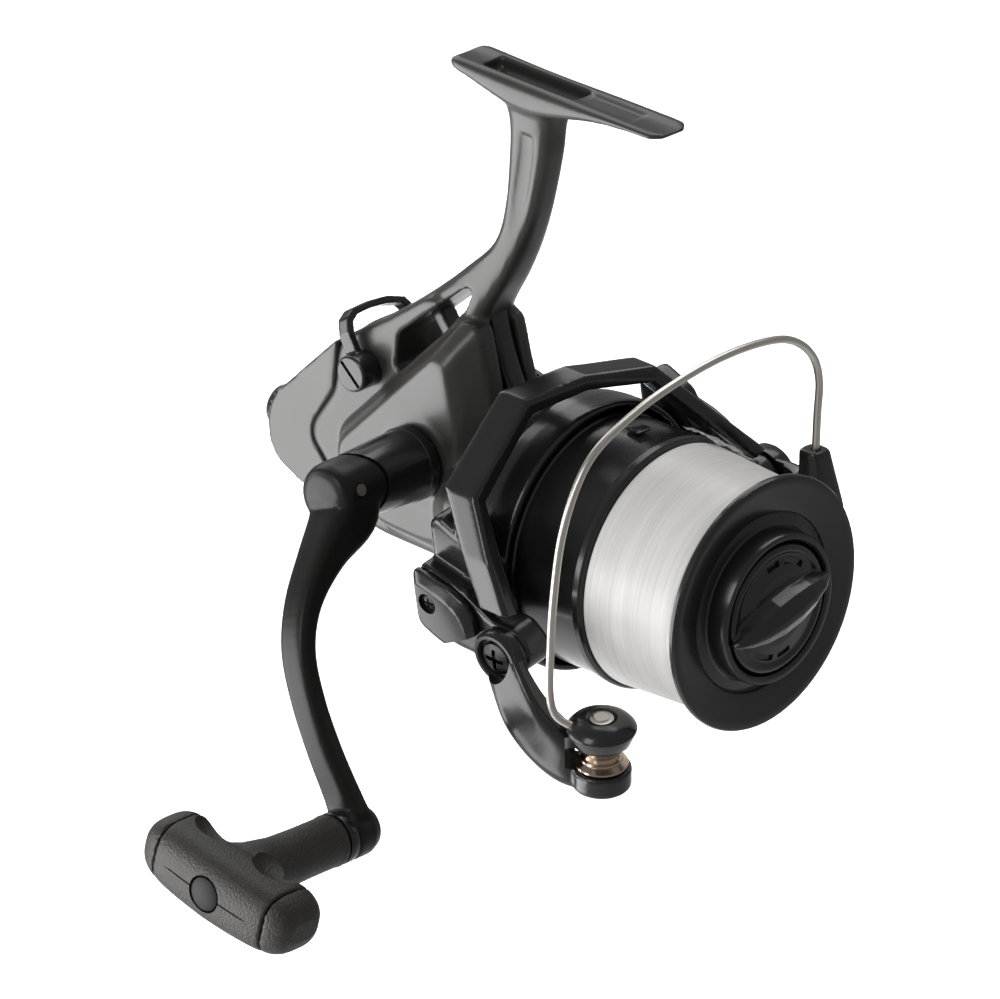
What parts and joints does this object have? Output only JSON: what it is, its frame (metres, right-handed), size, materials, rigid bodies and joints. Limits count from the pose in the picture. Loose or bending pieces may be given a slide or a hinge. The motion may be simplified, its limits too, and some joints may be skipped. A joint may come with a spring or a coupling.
{
  "type": "spinning reel",
  "caption": "Bait-feeder spinning reel with a long-cast spool of clear line, wire bail, fold-down T-knob handle, front and rear drag knobs and a rod foot.",
  "frame": {"origin": "on the flat seat of the foot, near its front end, where the reel lies against a rod", "axes": "+Z out of the foot seat towards the rod, -Y the way the spool faces, -X the side the crank handle is on"},
  "size_m": [0.1738, 0.169, 0.1828],
  "materials": {
    "black_gloss": "satin gloss moulded",
    "casting_black": "satin painted casting",
    "knob_rubber": "fine grained",
    "steel": "brushed",
    "brass": "machined",
    "alloy": "cast",
    "bronze_roller": "polished",
    "clear_line": "wound monofilament",
    "felt": "pressed felt"
  },
  "bodies": {
    "casing": {"body_housing": "casting_black", "side_cover": "casting_black", "rear_cover": "casting_black", "front_guard": "black_gloss", "crank_bearing_left": "steel", "crank_bearing_right": "steel", "pinion_bearing": "steel", "anti_reverse_clutch": "alloy", "side_cover_screw_1": "steel", "side_cover_screw_2": "steel", "side_cover_screw_3": "steel", "screw_cap": "black_gloss", "oscillation_guide_rail": "steel", "oscillation_stud": "steel", "bait_lever_pin": "steel"},
    "crank": {"drive_gear": "alloy", "crank_shaft": "steel", "crank_collar": "black_gloss", "crank_small_gear": "brass", "fold_pin": "steel"},
    "handle": {"handle_arm": "black_gloss", "knob_spindle": "steel", "knob_collar": "black_gloss"},
    "knob": {"knob_grip": "knob_rubber", "knob_end_rear": "knob_rubber", "knob_end_front": "knob_rubber", "knob_badge": "black_gloss"},
    "rotor": {"rotor": "black_gloss", "pinion_gear": "brass", "rotor_nut": "steel", "arm_cover_near": "black_gloss", "arm_cover_far": "black_gloss", "cover_screw_near": "steel", "cover_screw_far": "steel", "bail_pivot_screw_near": "steel", "bail_pivot_screw_far": "steel"},
    "bail": {"bail_arm": "black_gloss", "bail_holder": "black_gloss", "bail_wire": "steel", "roller_cap": "black_gloss", "roller_pin": "steel"},
    "roller": {"line_roller": "bronze_roller"},
    "shaft": {"main_shaft": "steel", "oscillation_slider": "brass"},
    "spool": {"spool": "black_gloss", "wound_line": "clear_line", "line_clip": "black_gloss", "drag_washer_rear": "felt", "drag_disc_rear": "steel", "drag_washer_front": "felt", "drag_disc_front": "steel", "drag_retainer": "steel"},
    "drag_knob": {"drag_knob": "black_gloss", "drag_nut": "brass", "drag_spring": "steel"},
    "lever": {"bait_lever": "black_gloss"},
    "rear_knob": {"rear_drag_knob": "black_gloss"},
    "stroke_gear": {"oscillation_gear": "brass"}
  },
  "joints": [
    {"name": "handle_turn", "type": "hinge", "parent": "casing", "child": "crank", "pos_m": [0, 0.0573, -0.1011], "axis": [1, 0, 0], "continuous": true},
    {"name": "handle_fold", "type": "hinge", "parent": "crank", "child": "handle", "pos_m": [-0.044, 0.0573, -0.1011], "axis": [0, 0.9225, -0.3859], "range_deg": [0, 90]},
    {"name": "knob_turn", "type": "hinge", "parent": "handle", "child": "knob", "pos_m": [-0.1, 0.02747, -0.17241], "axis": [1, 0, 0], "continuous": true},
    {"name": "rotor_turn", "type": "hinge", "parent": "casing", "child": "rotor", "pos_m": [0, 0.019, -0.111], "axis": [0, 1, 0], "continuous": true},
    {"name": "bail_flip", "type": "hinge", "parent": "rotor", "child": "bail", "pos_m": [0.00074, 0.0012, -0.11463], "axis": [0.9799, 0, 0.1994], "range_deg": [0, 102]},
    {"name": "line_roller_turn", "type": "hinge", "parent": "bail", "child": "roller", "pos_m": [-0.0406, -0.027, -0.1413], "axis": [-0.14, -0.08, 0.9869], "continuous": true},
    {"name": "spool_stroke", "type": "slide", "parent": "casing", "child": "shaft", "axis": [0, -1, 0], "range_m": [-0.004, 0.016]},
    {"name": "spool_slip", "type": "hinge", "parent": "shaft", "child": "spool", "pos_m": [0, -0.031, -0.111], "axis": [0, 1, 0], "continuous": true},
    {"name": "drag_knob_turn", "type": "hinge", "parent": "shaft", "child": "drag_knob", "pos_m": [0, -0.041, -0.111], "axis": [0, 1, 0], "range_deg": [-540, 540]},
    {"name": "bait_lever_tilt", "type": "hinge", "parent": "casing", "child": "lever", "pos_m": [0, 0.0813, -0.087], "axis": [-1, 0, 0], "range_deg": [0, 30]},
    {"name": "rear_knob_turn", "type": "hinge", "parent": "casing", "child": "rear_knob", "pos_m": [0, 0.109, -0.111], "axis": [0, 1, 0], "range_deg": [-360, 360]},
    {"name": "stroke_gear_turn", "type": "hinge", "parent": "casing", "child": "stroke_gear", "pos_m": [0.0086, 0.0756, -0.1078], "axis": [1, 0, 0], "continuous": true}
  ],
  "couplings": [
    {"joint": "rotor_turn", "follows": "handle_turn", "ratio": 4.7778},
    {"joint": "stroke_gear_turn", "follows": "handle_turn", "ratio": -0.7}
  ]
}
